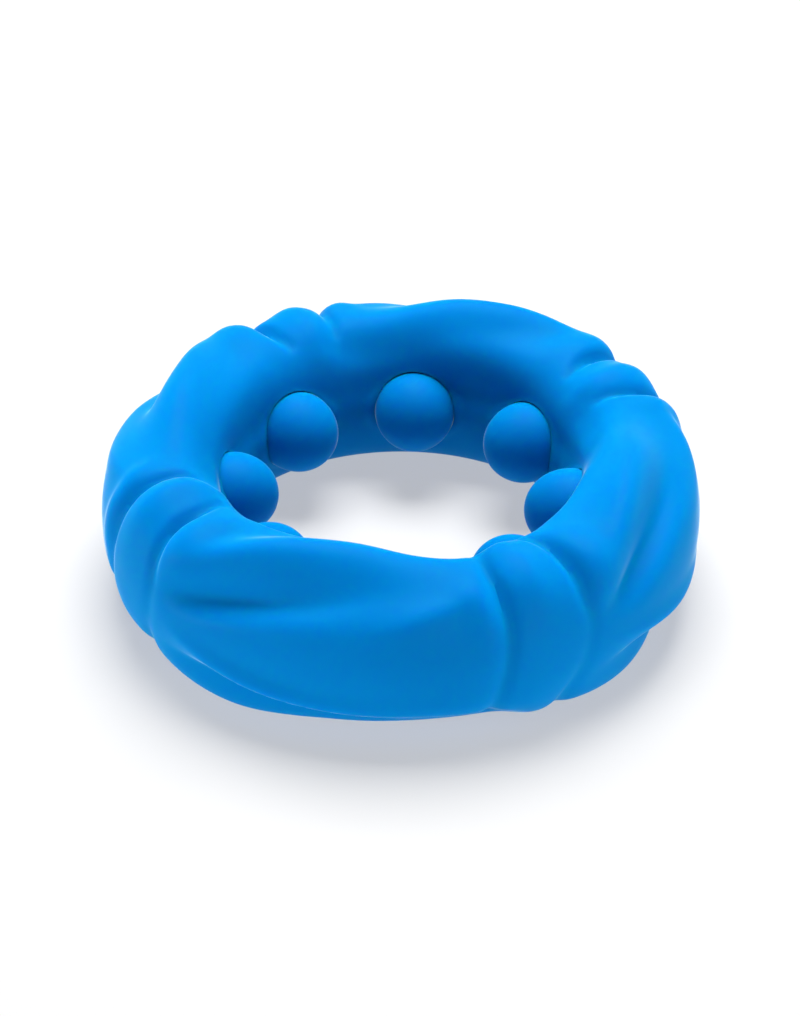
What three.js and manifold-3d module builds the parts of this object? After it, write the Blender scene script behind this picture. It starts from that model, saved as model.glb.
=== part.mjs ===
// A soft ring for squeezing in one hand. The ring is one silicone moulding, shaped like
// a cloth that is wrung round a finger, and eight firmer round beads sit in its inner
// wall, where each can be pressed back into the soft ring on its own.
// Millimetres. +Z is up along the ring's axis, and the ring rests on Z = 0.

import * as THREE from 'three';
import { mergeVertices } from 'three/addons/utils/BufferGeometryUtils.js';
import Module from 'manifold-3d';

const wasm = await Module();
wasm.setup();

// Ring: a fat oval section, carried round the axis.
const sectionRadius = 27.0; // from the axis to the middle of the section
const sectionOut = 7.8; // from the middle of the section to the outer wall
const sectionIn = 6.9; // from the middle of the section to the inner wall
const sectionHalfHeight = 9.7;
const sectionLift = 0.1; // the middle of the section above the middle of the beads
const squareness = 2.2; // 2 is an ellipse, more is squarer
const quarters = 4; // the wrung pattern comes round four times
const firstPleatAngle = 28.5; // the middle of the first pair of pleats, degrees from +X
const quarterColumns = 30; // columns of faces in each quarter
const sectionRows = 36; // faces round the section

// Beads: egg-shaped, with their long axes pointing at the ring's axis.
const beadCount = 8;
const firstBeadAngle = 40;
const beadHeight = 9.6; // the middle of the beads above the resting plane
const beadRadius = 4.9;
const beadTipRadius = 14.4; // the free hole between the tips is twice this
const beadNose = 5.4; // from the widest place to the tip
const beadTail = 4.2; // from the widest place to the end inside the wall
const beadSides = 16;
const beadRows = 10;

// Seats: each bead's own hollow in the wall, with the room that it is pressed back into.
const beadTravel = 1.5;
const seatGap = 0.3;
const seatMouthRadius = 12.0; // the seat's cutter starts here, in the open hole

// The wrung form is a set of soft strokes on the section. Each point of a stroke is
// [turn, around, height, width]: turn in degrees round the ring from the middle of the
// pleats, around in degrees round the section from the outer wall over the top, and
// height and width in millimetres. A negative height is a hollow.
const strokes = {
  leadingPleat: [
    [-9, 104, -0.4, 1.2], [-9.5, 86, -0.9, 1.2], [-9, 64, -1.0, 1.2], [-8.5, 38, -0.8, 1.2],
    [-9, 10, -0.6, 1.2], [-10.5, -25, -0.5, 1.2], [-12, -60, -0.4, 1.2],
  ],
  trailingPleat: [
    [5.5, 106, -0.4, 1.2], [7, 90, -0.9, 1.2], [7.5, 70, -1.2, 1.2], [8, 46, -0.9, 1.2],
    [8.5, 20, -0.4, 1.2], [7, -10, -0.3, 1.2], [4, -45, -0.5, 1.2], [3, -75, -0.3, 1.2],
  ],
  foldBetweenPleats: [
    [-4, 118, 0.6, 2.0], [-3, 92, 0.9, 2.2], [-2, 66, 1.1, 2.2], [-1, 40, 0.4, 2.2],
    [-2, 5, 0.1, 2.4], [-3, -35, 0.4, 2.4], [-3, -70, 0.2, 2.4],
  ],
  shoulder: [
    [12, 22, 0.2, 2.2], [13, 42, 0.7, 2.3], [13, 62, 1.2, 2.3], [14, 84, 0.6, 2.3],
  ],
  crest: [
    [16, 48, 0.3, 2.0], [23, 68, 1.4, 2.2], [34, 84, 2.3, 2.5], [48, 93, 2.3, 2.8],
    [64, 104, 1.0, 2.8], [80, 116, 0.2, 2.4],
  ],
  hollow: [
    [13, 26, -0.4, 1.8], [20, 38, -1.9, 2.1], [29, 51, -2.6, 2.3], [40, 61, -1.9, 2.2],
    [53, 68, -0.7, 2.2], [68, 74, -0.3, 2.2],
  ],
  lowerCrest: [
    [44, 32, 0.15, 2.0], [56, 40, 0.3, 1.7], [66, 52, 0.5, 1.5], [75, 64, 0.2, 1.4],
  ],
  cuff: [
    [74, 76, 0.1, 1.3], [76.5, 60, 0.5, 1.3], [77.5, 42, 0.6, 1.3], [77.5, 24, 0.3, 1.3],
    [77, 6, 0.1, 1.3],
  ],
  hemFold: [
    [16, -4, 0.2, 1.5], [24, -12, 0.5, 1.3], [34, -20, 0.7, 1.3], [46, -27, 0.6, 1.4],
    [58, -31, 0.4, 1.6], [70, -28, 0.2, 2.0],
  ],
  tuckUnderHem: [
    [14, -30, -0.2, 1.6], [22, -36, -0.9, 1.8], [34, -43, -1.6, 1.9], [48, -50, -2.0, 2.2],
    [64, -56, -1.8, 2.5], [80, -60, -0.9, 2.6],
  ],
  footLobe: [
    [2, -58, 0.3, 2.6], [14, -60, 1.0, 2.6], [26, -66, 1.1, 2.4], [38, -76, 0.4, 2.4],
  ],
  lipDip: [
    [54, 122, -0.3, 3.0], [64, 120, -0.9, 3.0], [74, 118, -1.1, 2.8], [83, 116, -0.8, 2.4],
  ],
  lipRise: [
    [20, 116, 0.4, 2.6], [38, 120, 0.9, 2.6], [52, 124, 0.6, 2.6], [66, 126, 0.3, 2.6],
  ],
  innerWaist: [
    [0, 156, -0.5, 2.6], [22, 154, -0.6, 2.6], [45, 156, -0.7, 2.6], [68, 154, -0.6, 2.6],
    [89, 156, -0.5, 2.6],
  ],
};
const samplesPerSpan = 10; // places along a stroke between two of its points

// Finishes
const silicone = { color: 0x0b84dc, roughness: 0.55, metalness: 0.0 };

const quarterTurn = 360 / quarters;
const millimetresPerTurn = sectionRadius * THREE.MathUtils.degToRad(1);
const millimetresPerAround = 9.0 * THREE.MathUtils.degToRad(1);

// A stroke as closely spaced places, each with its own height and width.
function placesAlong(points) {
  const route = new THREE.SplineCurve(points.map(([turn, around]) => new THREE.Vector2(turn, around)));
  const form = new THREE.SplineCurve(points.map(([, , height, width]) => new THREE.Vector2(height, width)));
  const steps = (points.length - 1) * samplesPerSpan;
  const places = [];
  for (let step = 0; step <= steps; step += 1) {
    const place = route.getPoint(step / steps);
    const size = form.getPoint(step / steps);
    places.push({ turn: place.x, around: place.y, height: size.x, width: size.y });
  }
  return places;
}

const strokePlaces = Object.values(strokes).map(placesAlong);

// The smallest signed difference between two angles that repeat after a period.
function wrapped(difference, period) {
  return difference - period * Math.round(difference / period);
}

// How far one stroke lifts or sinks the surface at a point.
function strokeHeight(places, turn, around) {
  let height = 0;
  for (const place of places) {
    const along = wrapped(turn - place.turn, quarterTurn) * millimetresPerTurn;
    const across = wrapped(around - place.around, 360) * millimetresPerAround;
    const fade = Math.exp(-(along * along + across * across) / (place.width * place.width));
    if (Math.abs(place.height * fade) > Math.abs(height)) {
      height = place.height * fade;
    }
  }
  return height;
}

// The section's radius in one direction: an oval, plus every stroke.
function surfaceRadius(turn, around) {
  const angle = THREE.MathUtils.degToRad(around);
  const halfWidth = Math.cos(angle) > 0 ? sectionOut : sectionIn;
  const sideways = Math.abs(Math.cos(angle) / halfWidth) ** squareness;
  const upward = Math.abs(Math.sin(angle) / sectionHalfHeight) ** squareness;
  const oval = (sideways + upward) ** (-1 / squareness);
  return strokePlaces.reduce((sum, places) => sum + strokeHeight(places, turn, around), oval);
}

// The whole ring as one closed skin of triangles.
function ringSkin() {
  const columns = quarters * quarterColumns;
  const positions = [];
  for (let column = 0; column < columns; column += 1) {
    const turn = (column * 360) / columns;
    const turnAngle = THREE.MathUtils.degToRad(turn + firstPleatAngle);
    for (let row = 0; row < sectionRows; row += 1) {
      const around = (row * 360) / sectionRows;
      const aroundAngle = THREE.MathUtils.degToRad(around);
      const reach = surfaceRadius(turn, around);
      const radius = sectionRadius + reach * Math.cos(aroundAngle);
      const height = beadHeight + sectionLift + reach * Math.sin(aroundAngle);
      positions.push(radius * Math.cos(turnAngle), radius * Math.sin(turnAngle), height);
    }
  }
  const triangles = [];
  for (let column = 0; column < columns; column += 1) {
    const nextColumn = (column + 1) % columns;
    for (let row = 0; row < sectionRows; row += 1) {
      const nextRow = (row + 1) % sectionRows;
      const a = column * sectionRows + row;
      const b = nextColumn * sectionRows + row;
      const c = nextColumn * sectionRows + nextRow;
      const d = column * sectionRows + nextRow;
      triangles.push(a, b, c, a, c, d);
    }
  }
  const skin = new THREE.BufferGeometry();
  skin.setAttribute('position', new THREE.Float32BufferAttribute(positions, 3));
  skin.setIndex(triangles);
  return skin;
}

// One outline of an egg-shaped bead, from its tail to its nose, for turning on a lathe.
function beadOutline() {
  const outline = [];
  for (let row = 0; row <= beadRows; row += 1) {
    const angle = (Math.PI * row) / beadRows;
    const length = Math.cos(angle) > 0 ? beadTail : beadNose;
    const atPole = row === 0 || row === beadRows;
    const radius = atPole ? 0 : beadRadius * Math.sin(angle);
    outline.push(new THREE.Vector2(radius, length * -Math.cos(angle)));
  }
  return outline;
}

// The outline of a seat's cutter: a rounded blind bore, open towards the axis.
function seatOutline() {
  const boreRadius = beadRadius + seatGap;
  const depth = beadTail + seatGap;
  const bottomRows = beadRows / 2;
  const outline = [];
  for (let row = 0; row <= bottomRows; row += 1) {
    const angle = (0.5 * Math.PI * row) / bottomRows;
    const radius = row === 0 ? 0 : boreRadius * Math.sin(angle);
    outline.push(new THREE.Vector2(radius, -beadTravel - depth * Math.cos(angle)));
  }
  const mouth = beadTipRadius + beadNose - seatMouthRadius;
  outline.push(new THREE.Vector2(boreRadius, mouth));
  outline.push(new THREE.Vector2(0, mouth));
  return outline;
}

// A turned shape laid along a radius of the ring, its +Y end towards the ring's axis.
function placedAtBead(outline, index) {
  const angle = THREE.MathUtils.degToRad(firstBeadAngle + (index * 360) / beadCount);
  const wideRadius = beadTipRadius + beadNose;
  const shape = new THREE.LatheGeometry(outline, beadSides);
  shape.rotateZ(Math.PI / 2);
  shape.translate(wideRadius, 0, beadHeight);
  shape.rotateZ(angle);
  return shape;
}

function solidOf(geometry) {
  const bare = geometry.clone();
  bare.deleteAttribute('normal');
  bare.deleteAttribute('uv');
  const merged = mergeVertices(bare, 1e-4);
  return new wasm.Manifold(new wasm.Mesh({
    numProp: 3,
    vertProperties: new Float32Array(merged.attributes.position.array),
    triVerts: new Uint32Array(merged.index.array),
  }));
}

function geometryOf(solid) {
  const mesh = solid.getMesh();
  const geometry = new THREE.BufferGeometry();
  geometry.setAttribute('position', new THREE.BufferAttribute(mesh.vertProperties, 3));
  geometry.setIndex(new THREE.BufferAttribute(mesh.triVerts, 1));
  geometry.computeVertexNormals();
  return geometry;
}

// The ring: its underside is flat where it rests, and eight seats are cut in its wall.
function ringBody() {
  const outerSize = 4 * sectionRadius;
  const tableTop = new THREE.BoxGeometry(outerSize, outerSize, sectionHalfHeight);
  tableTop.translate(0, 0, -sectionHalfHeight / 2);
  let solid = solidOf(ringSkin()).subtract(solidOf(tableTop));
  for (let index = 0; index < beadCount; index += 1) {
    solid = solid.subtract(solidOf(placedAtBead(seatOutline(), index)));
  }
  return geometryOf(solid);
}

const softRing = new THREE.Group();

function addPiece(name, geometry, finish) {
  const piece = new THREE.Mesh(geometry, new THREE.MeshStandardMaterial(finish));
  piece.name = name;
  softRing.add(piece);
}

addPiece('ring_body', ringBody(), silicone);
for (let index = 0; index < beadCount; index += 1) {
  addPiece(`bead_${index + 1}`, geometryOf(solidOf(placedAtBead(beadOutline(), index))), silicone);
}

export default softRing;
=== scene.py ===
"""A soft silicone ring for squeezing in one hand, with eight beads in its inner wall."""
import math
import bpy
import numpy as np
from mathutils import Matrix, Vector


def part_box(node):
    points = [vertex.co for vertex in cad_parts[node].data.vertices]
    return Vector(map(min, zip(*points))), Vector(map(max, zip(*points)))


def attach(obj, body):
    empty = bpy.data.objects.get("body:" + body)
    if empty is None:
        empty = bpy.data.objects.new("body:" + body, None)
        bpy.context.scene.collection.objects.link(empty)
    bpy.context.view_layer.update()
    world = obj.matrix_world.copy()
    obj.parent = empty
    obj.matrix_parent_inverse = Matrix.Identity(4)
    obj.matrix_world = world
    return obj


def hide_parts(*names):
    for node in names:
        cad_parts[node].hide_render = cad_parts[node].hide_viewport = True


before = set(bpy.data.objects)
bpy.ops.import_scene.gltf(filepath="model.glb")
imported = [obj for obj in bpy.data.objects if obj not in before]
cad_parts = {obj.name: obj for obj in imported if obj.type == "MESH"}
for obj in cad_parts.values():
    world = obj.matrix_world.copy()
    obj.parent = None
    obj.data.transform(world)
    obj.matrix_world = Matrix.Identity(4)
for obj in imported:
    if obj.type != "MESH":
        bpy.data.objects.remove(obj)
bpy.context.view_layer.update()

# ---- Table, light and camera -------------------------------------------------------------
# The ring lies on a table of opal acrylic that is lit faintly from below, in a white room
# that is bright low down and dim above. A soft box overhead and one at each side light it,
# and it is looked at from the front and from above.
bead_low, bead_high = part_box("bead_1")
bead_height = (bead_low.z + bead_high.z) / 2
view_elevation = math.radians(34.8)
view_distance = 0.2985
lens_length_mm = 90.2
nearest_seen = 0.01
aim_left_of_middle = 0.0001
aim_below_beads = 0.0009
aim = Vector((-aim_left_of_middle, 0.0, bead_height - aim_below_beads))
toward_viewer = Vector((0.0, -math.cos(view_elevation), math.sin(view_elevation)))


def new_object(name, data):
    """A linked object at the origin that holds a mesh, a lamp or a camera."""
    thing = bpy.data.objects.new(name, data)
    bpy.context.scene.collection.objects.link(thing)
    return thing


camera = new_object("view", bpy.data.cameras.new("view"))
camera.data.lens = lens_length_mm
camera.data.clip_start = nearest_seen
camera.location = aim + view_distance * toward_viewer
camera.rotation_euler = toward_viewer.to_track_quat("Z", "Y").to_euler()
bpy.context.scene.camera = camera
bpy.context.scene.view_settings.view_transform = "Standard"


def linear_colour(hex_text):
    """An sRGB hex colour as linear red, green, blue and alpha, by the standard sRGB curve."""
    channels = []
    for start in (0, 2, 4):
        value = int(hex_text[start:start + 2], 16) / 255
        channels.append(value / 12.92 if value <= 0.04045 else ((value + 0.055) / 1.055) ** 2.4)
    return (*channels, 1.0)


def add_node(tree, kind, inputs=None, **settings):
    """Adds a node with its settings. Each input, by name or number, is given a value, a socket,
    or a node, which stands for its first output."""
    node = tree.nodes.new(kind)
    for name, value in settings.items():
        setattr(node, name, value)
    for key, source in (inputs or {}).items():
        if isinstance(source, bpy.types.Node):
            source = source.outputs[0]
        if isinstance(source, bpy.types.NodeSocket):
            tree.links.new(source, node.inputs[key])
        else:
            node.inputs[key].default_value = source
    return node


def new_material(name):
    """An empty material, and the node tree to fill."""
    material = bpy.data.materials.new(name)
    material.use_nodes = True
    material.node_tree.nodes.clear()
    return material, material.node_tree


table_half_width = 3.0
table_corners = [(x * table_half_width, y * table_half_width, 0.0)
                 for x, y in ((-1, -1), (1, -1), (1, 1), (-1, 1))]
table_mesh = bpy.data.meshes.new("table_top")
table_mesh.from_pydata(table_corners, [], [(0, 1, 2, 3)])
table_top = new_object("table_top", table_mesh)

# Opal acrylic with a sanded face: it shows no gloss, and its faint glow keeps shadows pale.
opal_grey = linear_colour("9E9E9E")
opal_roughness = 0.9
opal_gloss = 0.1
opal_glow = 0.46
pure_white = linear_colour("FFFFFF")
opal_acrylic, tree = new_material("backlit_white_acrylic")
sanded_face = add_node(tree, "ShaderNodeBsdfPrincipled", {
    "Base Color": opal_grey, "Roughness": opal_roughness, "Specular IOR Level": opal_gloss,
    "Emission Color": pure_white, "Emission Strength": opal_glow})
add_node(tree, "ShaderNodeOutputMaterial", {"Surface": sanded_face})
table_mesh.materials.append(opal_acrylic)

# The room's light by the rise of the line of sight, from 0 at the horizon to 1 overhead.
room_low_light = 1.1
room_high_light = 0.08
bright_up_to = 0.06
dim_from = 0.30
room = bpy.data.worlds.new("white_room")
room.use_nodes = True
tree = room.node_tree
tree.nodes.clear()
sight = add_node(tree, "ShaderNodeTexCoord").outputs["Generated"]
rise = add_node(tree, "ShaderNodeSeparateXYZ", {0: sight}).outputs["Z"]
room_light = add_node(tree, "ShaderNodeMapRange", {
    "Value": rise, "From Min": bright_up_to, "From Max": dim_from,
    "To Min": room_low_light, "To Max": room_high_light})
walls = add_node(tree, "ShaderNodeBackground", {"Color": pure_white, "Strength": room_light})
add_node(tree, "ShaderNodeOutputWorld", {"Surface": walls})
bpy.context.scene.world = room

# Each square soft box faces the ring. It is (place, width, power), in metres and watts.
soft_boxes = {
    "overhead_soft_box": ((0.02, 0.17, 0.46), 0.36, 4.7),
    "left_soft_box": ((-0.60, -0.12, 0.04), 0.14, 2.8),
    "right_soft_box": ((0.34, -0.50, 0.05), 0.20, 2.2)}
for name, (place, width, power) in soft_boxes.items():
    soft_box = new_object(name, bpy.data.lights.new(name, "AREA"))
    soft_box.data.size = width
    soft_box.data.energy = power
    soft_box.location = place
    soft_box.rotation_euler = (Vector(place) - aim).to_track_quat("Z", "Y").to_euler()

# ---- Ring --------------------------------------------------------------------------------
# The real ring is one soft moulding of solid silicone rubber, pressed in a two-part mould.
# Its form is a cloth wrung round a ring: crests and hollows that wind over the top, with a
# pair of pleats at every quarter turn.
MM = 0.001
section_radius = 27.0 * MM
section_out = 7.8 * MM
section_in = 6.9 * MM
section_half_height = 9.7 * MM
section_lift = 0.1 * MM
squareness = 2.2
quarters = 4
first_pleat_angle = math.radians(28.5)
quarter_columns = 100
section_rows = 196
floor_softness = 0.35 * MM
join_distance = 0.001 * MM

# Each stroke is a soft ridge, or a hollow where its height is negative. Its points are
# (turn, around, height, width): degrees round the ring from the middle of the pleats,
# degrees round the section from the outer wall over the top, and millimetres.
strokes = {
    "leading_pleat": [
        (-9, 104, -0.4, 0.9), (-9.5, 86, -0.9, 0.8), (-9, 64, -1.0, 0.8), (-8.5, 38, -0.8, 0.7),
        (-9, 10, -0.6, 0.7), (-10.5, -25, -0.5, 0.8), (-12, -60, -0.4, 1.2)],
    "trailing_pleat": [
        (5.5, 106, -0.4, 0.9), (7, 90, -0.9, 0.9), (7.5, 70, -1.2, 0.8), (8, 46, -0.9, 0.8),
        (8.5, 20, -0.4, 0.8), (7, -10, -0.3, 0.9), (4, -45, -0.5, 1.0), (3, -75, -0.3, 1.2)],
    "fold_between_pleats": [
        (-4, 118, 0.6, 2.0), (-3, 92, 0.9, 2.2), (-2, 66, 1.1, 2.2), (-1, 40, 0.4, 2.2),
        (-2, 5, 0.1, 2.4), (-3, -35, 0.4, 2.4), (-3, -70, 0.2, 2.4)],
    "shoulder": [
        (12, 22, 0.2, 2.2), (13, 42, 0.7, 2.3), (13, 62, 1.2, 2.3), (14, 84, 0.6, 2.3)],
    "crest": [
        (16, 48, 0.3, 2.0), (23, 68, 1.4, 2.2), (34, 84, 2.3, 2.5), (48, 93, 2.3, 2.8),
        (64, 104, 1.0, 2.8), (80, 116, 0.2, 2.4)],
    "hollow": [
        (13, 26, -0.4, 1.8), (20, 38, -1.9, 2.1), (29, 51, -2.6, 2.3), (40, 61, -1.9, 2.2),
        (53, 68, -0.7, 2.2), (68, 74, -0.3, 2.2)],
    "lower_crest": [
        (44, 32, 0.15, 2.0), (56, 40, 0.3, 1.7), (66, 52, 0.5, 1.5), (75, 64, 0.2, 1.4)],
    "cuff": [
        (74, 76, 0.1, 1.3), (76.5, 60, 0.5, 1.3), (77.5, 42, 0.6, 1.3), (77.5, 24, 0.3, 1.3),
        (77, 6, 0.1, 1.3)],
    "hem_fold": [
        (16, -4, 0.2, 1.5), (24, -12, 0.5, 1.3), (34, -20, 0.7, 1.3), (46, -27, 0.6, 1.4),
        (58, -31, 0.4, 1.6), (70, -28, 0.2, 2.0)],
    "tuck_under_hem": [
        (14, -30, -0.2, 1.6), (22, -36, -0.9, 1.8), (34, -43, -1.6, 1.9), (48, -50, -2.0, 2.2),
        (64, -56, -1.8, 2.5), (80, -60, -0.9, 2.6)],
    "foot_lobe": [
        (2, -58, 0.3, 2.6), (14, -60, 1.0, 2.6), (26, -66, 1.1, 2.4), (38, -76, 0.4, 2.4)],
    "lip_dip": [
        (54, 122, -0.3, 3.0), (64, 120, -0.9, 3.0), (74, 118, -1.1, 2.8), (83, 116, -0.8, 2.4)],
    "lip_rise": [
        (20, 116, 0.4, 2.6), (38, 120, 0.9, 2.6), (52, 124, 0.6, 2.6), (66, 126, 0.3, 2.6)],
    "inner_waist": [
        (0, 156, -0.5, 2.6), (22, 154, -0.6, 2.6), (45, 156, -0.7, 2.6), (68, 154, -0.6, 2.6),
        (89, 156, -0.5, 2.6)],
}
places_per_span = 24
quarter_turn = 360 / quarters
mean_section_mm = 9.0
mm_per_turn_degree = section_radius / MM * math.radians(1)
mm_per_around_degree = mean_section_mm * math.radians(1)


def places_along(points):
    """A stroke's points joined by a smooth curve (Catmull-Rom), as closely spaced places."""
    known = np.array(points, float)
    known = np.vstack([2 * known[0] - known[1], known, 2 * known[-1] - known[-2]])
    step = np.linspace(0, 1, places_per_span, endpoint=False)[:, None]
    spans = []
    for before, start, end, after in zip(known, known[1:], known[2:], known[3:]):
        spans.append(0.5 * (2 * start + (end - before) * step
                            + (2 * before - 5 * start + 4 * end - after) * step ** 2
                            + (3 * start - before - 3 * end + after) * step ** 3))
    return np.vstack(spans + [known[-2:-1]])


def nearest_way(degrees, period):
    """Degrees from the nearest repeat of a thing that comes again every period."""
    return (degrees + period / 2) % period - period / 2


def relief(turn, around):
    """The height of all the strokes together, in millimetres, at arrays of places in degrees."""
    total = np.zeros_like(turn)
    for points in strokes.values():
        strongest = np.zeros_like(turn)
        for place_turn, place_around, height, width in places_along(points):
            along = nearest_way(turn - place_turn, quarter_turn) * mm_per_turn_degree
            across = nearest_way(around - place_around, 360) * mm_per_around_degree
            lift = height * np.exp(-(along ** 2 + across ** 2) / width ** 2)
            strongest = np.where(np.abs(lift) > np.abs(strongest), lift, strongest)
        total += strongest
    return total


# Where each bead sits, the wall swells to meet it in a low, soft collar. Its sizes are in
# millimetres: how high it stands, how far it reaches from the bead, and how softly it ends.
bead_count = 8
first_bead_angle = math.radians(40.0)
bead_radius = 4.9 * MM
bead_tip_radius = 14.4 * MM
bead_nose = 5.4 * MM
bead_tail = 4.2 * MM
bead_travel = 1.5 * MM
collar_rise = 0.4
collar_width = 1.2
collar_edge = 0.25


def collar(turn, around):
    """The height of the collars round the beads, in millimetres, at arrays of places in degrees."""
    angle = np.radians(around)
    radius = (section_radius + section_in * np.cos(angle)) / MM
    height = (section_lift + section_half_height * np.sin(angle)) / MM
    bead_turn = math.degrees(first_bead_angle - first_pleat_angle)
    from_bead = nearest_way(turn - bead_turn, 360 / bead_count)
    away = np.hypot(radius * np.sin(np.radians(from_bead)), height) - bead_radius / MM
    fade = 1 / (1 + np.exp((away - collar_width) / collar_edge))
    return np.where(np.cos(angle) < 0, collar_rise * fade, 0.0)


def flat_pattern():
    """A quarter of the ring's skin laid out flat: turn along X, around along Y, relief along Z."""
    turn, around = np.meshgrid(np.linspace(0, quarter_turn, quarter_columns + 1),
                               np.linspace(0, 360, section_rows + 1), indexing="ij")
    height = (relief(turn, around) + collar(turn, around)) * MM
    places = np.stack([np.radians(turn), np.radians(around), height], axis=-1).reshape(-1, 3)
    faces = []
    next_column = section_rows + 1
    for column in range(quarter_columns):
        for row in range(section_rows):
            corner = column * next_column + row
            faces.append((corner, corner + next_column, corner + next_column + 1, corner + 1))
    mesh = bpy.data.meshes.new("ring_pattern")
    mesh.from_pydata(places.tolist(), [], faces)
    return mesh


def new_shape_tree(name, sizes, counts):
    """A Geometry Nodes tree with named inputs for sizes, counts and a material, and its inputs."""
    tree = bpy.data.node_groups.new(name, "GeometryNodeTree")
    sockets = tree.interface
    sockets.new_socket("Geometry", in_out="OUTPUT", socket_type="NodeSocketGeometry")
    sockets.new_socket("Geometry", in_out="INPUT", socket_type="NodeSocketGeometry")
    for size in sizes:
        sockets.new_socket(size, in_out="INPUT", socket_type="NodeSocketFloat")
    for count in counts:
        sockets.new_socket(count, in_out="INPUT", socket_type="NodeSocketInt")
    sockets.new_socket("Material", in_out="INPUT", socket_type="NodeSocketMaterial")
    return tree, add_node(tree, "NodeGroupInput").outputs


def rolled_ring_tree():
    """Rolls the flat quarter round the oval section and the ring, and repeats it all round."""
    tree, given = new_shape_tree("rolled_ring", (
        "Section radius", "Section out", "Section in", "Half height", "Middle height",
        "Squareness", "First angle", "Floor softness", "Join distance"), ("Quarters",))
    position = add_node(tree, "GeometryNodeInputPosition")
    pattern = add_node(tree, "ShaderNodeSeparateXYZ", {0: position}).outputs
    turn, around, lift = pattern["X"], pattern["Y"], pattern["Z"]
    cosine = add_node(tree, "ShaderNodeMath", {0: around}, operation="COSINE")
    sine = add_node(tree, "ShaderNodeMath", {0: around}, operation="SINE")

    # The oval's own reach from its middle, and then the relief's height on top of it.
    outside = add_node(tree, "ShaderNodeMath", {0: cosine, 1: 0.0}, operation="GREATER_THAN")
    half_width = add_node(tree, "ShaderNodeMix", {
        "Factor": outside, "A": given["Section in"], "B": given["Section out"]})
    power = given["Squareness"]
    parts = {}
    for key, wave, half_size in ((0, cosine, half_width), (1, sine, given["Half height"])):
        wave_size = add_node(tree, "ShaderNodeMath", {0: wave}, operation="ABSOLUTE")
        share = add_node(tree, "ShaderNodeMath", {0: wave_size, 1: half_size}, operation="DIVIDE")
        parts[key] = add_node(tree, "ShaderNodeMath", {0: share, 1: power}, operation="POWER")
    both_parts = add_node(tree, "ShaderNodeMath", parts, operation="ADD")
    root = add_node(tree, "ShaderNodeMath", {0: -1.0, 1: power}, operation="DIVIDE")
    oval = add_node(tree, "ShaderNodeMath", {0: both_parts, 1: root}, operation="POWER")
    reach = add_node(tree, "ShaderNodeMath", {0: oval, 1: lift}, operation="ADD")

    # The place on the ring. What would pass through the table is pressed flat against it.
    radius = add_node(tree, "ShaderNodeMath", {0: reach, 1: cosine, 2: given["Section radius"]},
                      operation="MULTIPLY_ADD")
    height = add_node(tree, "ShaderNodeMath", {0: reach, 1: sine, 2: given["Middle height"]},
                      operation="MULTIPLY_ADD")
    pressed = add_node(tree, "ShaderNodeMath", {0: height, 1: 0.0, 2: given["Floor softness"]},
                       operation="SMOOTH_MAX")
    angle = add_node(tree, "ShaderNodeMath", {0: turn, 1: given["First angle"]}, operation="ADD")
    place = {"Z": pressed}
    for axis, wave in (("X", "COSINE"), ("Y", "SINE")):
        way = add_node(tree, "ShaderNodeMath", {0: angle}, operation=wave)
        place[axis] = add_node(tree, "ShaderNodeMath", {0: radius, 1: way}, operation="MULTIPLY")
    rolled = add_node(tree, "ShaderNodeCombineXYZ", place)
    quarter = add_node(tree, "GeometryNodeSetPosition", {
        "Geometry": given["Geometry"], "Position": rolled})

    hub = add_node(tree, "GeometryNodeMeshLine", {
        "Count": given["Quarters"], "Offset": (0.0, 0.0, 0.0)})
    step = add_node(tree, "ShaderNodeMath", {0: 2 * math.pi, 1: given["Quarters"]},
                    operation="DIVIDE")
    number = add_node(tree, "GeometryNodeInputIndex")
    copy_angle = add_node(tree, "ShaderNodeMath", {0: number, 1: step}, operation="MULTIPLY")
    turned = add_node(tree, "ShaderNodeCombineXYZ", {"Z": copy_angle})
    copies = add_node(tree, "GeometryNodeInstanceOnPoints", {
        "Points": hub, "Instance": quarter, "Rotation": turned})
    whole = add_node(tree, "GeometryNodeRealizeInstances", {"Geometry": copies})
    closed = add_node(tree, "GeometryNodeMergeByDistance", {
        "Geometry": whole, "Distance": given["Join distance"]})
    finished = add_node(tree, "GeometryNodeSetMaterial", {
        "Geometry": closed, "Material": given["Material"]})
    add_node(tree, "NodeGroupOutput", {"Geometry": finished})
    return tree


def made_by_nodes(name, mesh, tree, values):
    """Runs a Geometry Nodes tree on a mesh, with its inputs by name, and keeps a plain object."""
    pattern = new_object(name + "_pattern", mesh)
    modifier = pattern.modifiers.new(tree.name, "NODES")
    modifier.node_group = tree
    for item in tree.interface.items_tree:
        if item.in_out == "INPUT" and item.name in values:
            modifier[item.identifier] = values[item.name]
    evaluated = pattern.evaluated_get(bpy.context.evaluated_depsgraph_get())
    result = bpy.data.meshes.new_from_object(evaluated)
    result.name = name
    bpy.data.objects.remove(pattern)
    return new_object(name, result)


# Silicone rubber from a lightly blasted steel mould. The eye sees an even satin skin with no
# sharp highlight, a pale bloom where it turns away, and a little light carried through it.
azure = "007AC0"
deeper_azure = "0076BC"
cloud_size = 9.0 * MM
satin_low = 0.44
satin_high = 0.52
# The real grain is about 0.05 mm, too fine to show, so it is drawn at 0.22 mm.
grain_size = 0.22 * MM
grain_depth = 0.02 * MM
grain_strength = 0.12
light_reach_mm = (0.1, 0.5, 2.0)
light_share = 0.8
silicone_ior = 1.41
gloss_level = 0.015
bloom = {"Sheen Weight": 0.7, "Sheen Roughness": 0.14, "Sheen Tint": linear_colour("DDF2FF")}


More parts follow.
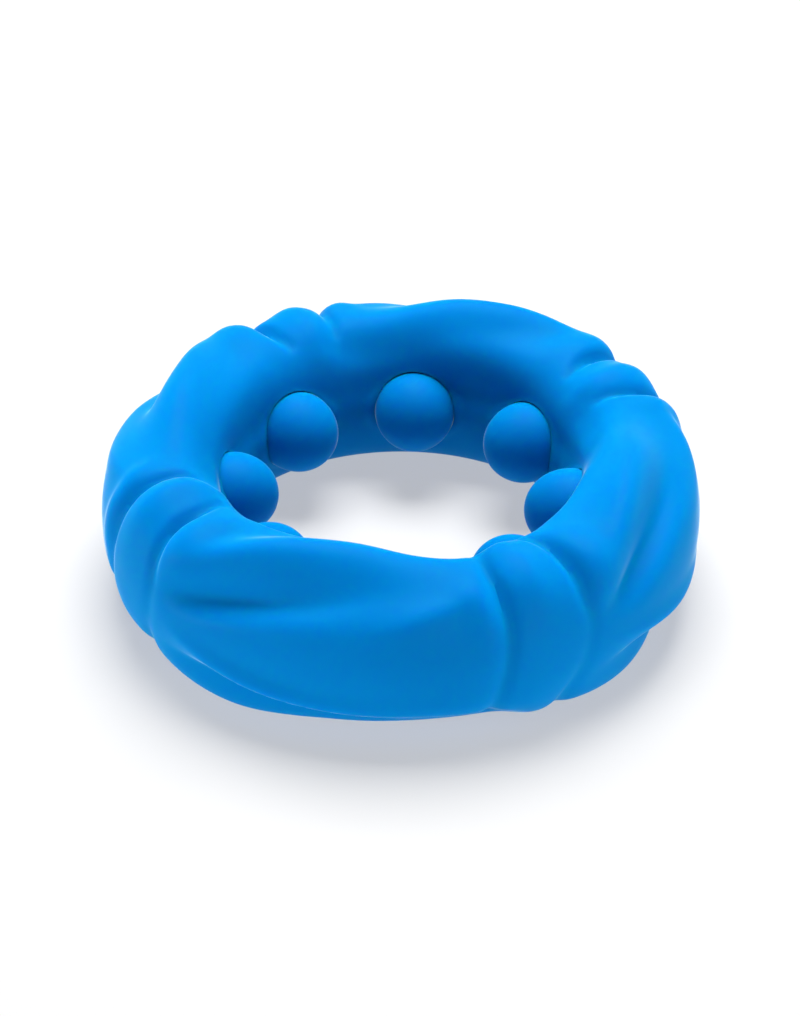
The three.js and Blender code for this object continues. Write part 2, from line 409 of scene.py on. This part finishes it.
def moulded_silicone(name, colour, shade_colour):
    """Satin silicone with a fine grain, whose colour and gloss cloud slowly between two values."""
    material, tree = new_material(name)
    place = add_node(tree, "ShaderNodeTexCoord").outputs["Object"]
    cloud = add_node(tree, "ShaderNodeTexNoise", {
        "Vector": place, "Scale": 1 / cloud_size, "Detail": 3.0}).outputs["Fac"]
    tint = add_node(tree, "ShaderNodeMix", {
        "Factor": cloud, "A": linear_colour(colour), "B": linear_colour(shade_colour)},
        data_type="RGBA")
    satin = add_node(tree, "ShaderNodeMapRange", {
        "Value": cloud, "To Min": satin_low, "To Max": satin_high})
    grain = add_node(tree, "ShaderNodeTexNoise", {
        "Vector": place, "Scale": 1 / grain_size, "Detail": 2.0}).outputs["Fac"]
    bump = add_node(tree, "ShaderNodeBump", {
        "Height": grain, "Strength": grain_strength, "Distance": grain_depth})
    rubber = add_node(tree, "ShaderNodeBsdfPrincipled", {
        "Base Color": tint.outputs["Result"], "Roughness": satin, "Normal": bump,
        "IOR": silicone_ior, "Specular IOR Level": gloss_level, "Subsurface Weight": light_share,
        "Subsurface Radius": light_reach_mm, "Subsurface Scale": MM, **bloom})
    add_node(tree, "ShaderNodeOutputMaterial", {"Surface": rubber})
    return material


ring_silicone = moulded_silicone("moulded_silicone_ring", azure, deeper_azure)
ring_body = made_by_nodes("soft_ring", flat_pattern(), rolled_ring_tree(), {
    "Section radius": section_radius, "Section out": section_out, "Section in": section_in,
    "Half height": section_half_height, "Middle height": bead_height + section_lift,
    "Squareness": squareness, "First angle": first_pleat_angle, "Floor softness": floor_softness,
    "Join distance": join_distance, "Quarters": quarters, "Material": ring_silicone})

# The seats that hold the beads, cut out of the inner wall with room behind each bead for its
# travel. The tool that cuts one reaches from inside the hole to the end of that room.
seat_clearance = 0.02 * MM
seat_radius = bead_radius + seat_clearance
seat_sides = 96
seat_rows = 20
widest_at = bead_tip_radius + bead_nose
cutter_reach = 10 * MM
seat_outline = [(widest_at - cutter_reach, seat_radius)]
for row in range(seat_rows):
    lean = 0.5 * math.pi * row / seat_rows
    depth = bead_travel + (bead_tail + seat_clearance) * math.sin(lean)
    seat_outline.append((widest_at + depth, seat_radius * math.cos(lean)))


def turned_shape(name, outline, sides, angle):
    """A closed shape turned about a radius of the ring, from (distance from the axis, radius)."""
    points = []
    for along, radius in outline:
        for side in range(sides):
            spin = 2 * math.pi * side / sides
            across = radius * math.cos(spin)
            points.append((along * math.cos(angle) - across * math.sin(angle),
                           along * math.sin(angle) + across * math.cos(angle),
                           bead_height + radius * math.sin(spin)))
    faces = []
    for first in range(0, (len(outline) - 1) * sides, sides):
        for side in range(sides):
            a = first + side
            b = first + (side + 1) % sides
            faces.append((a, b, b + sides, a + sides))
    faces.append(tuple(reversed(range(sides))))
    faces.append(tuple(range(len(points) - sides, len(points))))
    mesh = bpy.data.meshes.new(name)
    mesh.from_pydata(points, [], faces)
    return mesh


for index in range(bead_count):
    cutter = new_object("seat_cutter", turned_shape(
        "seat_cutter", seat_outline, seat_sides,
        first_bead_angle + index * 2 * math.pi / bead_count))
    cut = ring_body.modifiers.new("seat", "BOOLEAN")
    cut.operation = "DIFFERENCE"
    cut.solver = "MANIFOLD"
    cut.object = cutter
    evaluated = ring_body.evaluated_get(bpy.context.evaluated_depsgraph_get())
    cut_mesh = bpy.data.meshes.new_from_object(evaluated)
    ring_body.modifiers.clear()
    ring_body.data = cut_mesh
    bpy.data.objects.remove(cutter)
sharp_from = math.radians(50)
ring_body.data.name = "soft_ring"
ring_body.data.materials.clear()
ring_body.data.materials.append(ring_silicone)
ring_body.data.shade_smooth()
ring_body.data.set_sharp_from_angle(angle=sharp_from)
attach(ring_body, "ring")
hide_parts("ring_body")

# ---- Beads -------------------------------------------------------------------------------
# Eight egg-shaped beads of the same silicone, a little firmer, stand out of the inner wall.
# Each is held by its seat, and can be pressed back into the wall.
bead_segments = 72
bead_rings = 48


def seated_bead_tree():
    """Shapes a ball into an egg along a radius of the ring, and puts it in one of the seats."""
    tree, given = new_shape_tree("seated_bead", (
        "Radius", "Nose", "Tail", "Tip radius", "Height", "First angle"),
        ("Number", "Count", "Segments", "Rings"))
    ball = add_node(tree, "GeometryNodeMeshUVSphere", {
        "Segments": given["Segments"], "Rings": given["Rings"], "Radius": 1.0})
    position = add_node(tree, "GeometryNodeInputPosition")
    on_ball = add_node(tree, "ShaderNodeSeparateXYZ", {0: position}).outputs
    inward = add_node(tree, "ShaderNodeMath", {0: on_ball["Z"], 1: 0.0}, operation="GREATER_THAN")
    length = add_node(tree, "ShaderNodeMix", {
        "Factor": inward, "A": given["Tail"], "B": given["Nose"]})
    widest = add_node(tree, "ShaderNodeMath", {0: given["Tip radius"], 1: given["Nose"]},
                      operation="ADD")
    nearer = add_node(tree, "ShaderNodeMath", {0: on_ball["Z"], 1: length}, operation="MULTIPLY")
    along = add_node(tree, "ShaderNodeMath", {0: widest, 1: nearer}, operation="SUBTRACT")
    egg_place = {"X": along}
    for axis, source in (("Y", "X"), ("Z", "Y")):
        egg_place[axis] = add_node(tree, "ShaderNodeMath", {0: on_ball[source], 1: given["Radius"]},
                                   operation="MULTIPLY")
    on_egg = add_node(tree, "ShaderNodeCombineXYZ", egg_place)
    egg = add_node(tree, "GeometryNodeSetPosition", {"Geometry": ball, "Position": on_egg})

    step = add_node(tree, "ShaderNodeMath", {0: 2 * math.pi, 1: given["Count"]},
                    operation="DIVIDE")
    angle = add_node(tree, "ShaderNodeMath", {0: given["Number"], 1: step, 2: given["First angle"]},
                     operation="MULTIPLY_ADD")
    turned = add_node(tree, "ShaderNodeCombineXYZ", {"Z": angle})
    lifted = add_node(tree, "ShaderNodeCombineXYZ", {"Z": given["Height"]})
    seated = add_node(tree, "GeometryNodeTransform", {
        "Geometry": egg, "Rotation": turned, "Translation": lifted})
    smooth = add_node(tree, "GeometryNodeSetShadeSmooth", {"Geometry": seated})
    whole = add_node(tree, "GeometryNodeRealizeInstances", {"Geometry": smooth})
    finished = add_node(tree, "GeometryNodeSetMaterial", {
        "Geometry": whole, "Material": given["Material"]})
    add_node(tree, "NodeGroupOutput", {"Geometry": finished})
    return tree


bead_silicone = moulded_silicone("moulded_silicone_bead", azure, deeper_azure)
bead_tree = seated_bead_tree()
for index in range(bead_count):
    node = f"bead_{index + 1}"
    bead = made_by_nodes(f"soft_{node}", bpy.data.meshes.new("empty"), bead_tree, {
        "Radius": bead_radius, "Nose": bead_nose, "Tail": bead_tail,
        "Tip radius": bead_tip_radius, "Height": bead_height, "First angle": first_bead_angle,
        "Number": index, "Count": bead_count, "Segments": bead_segments, "Rings": bead_rings,
        "Material": bead_silicone})
    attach(bead, node)
    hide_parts(node)
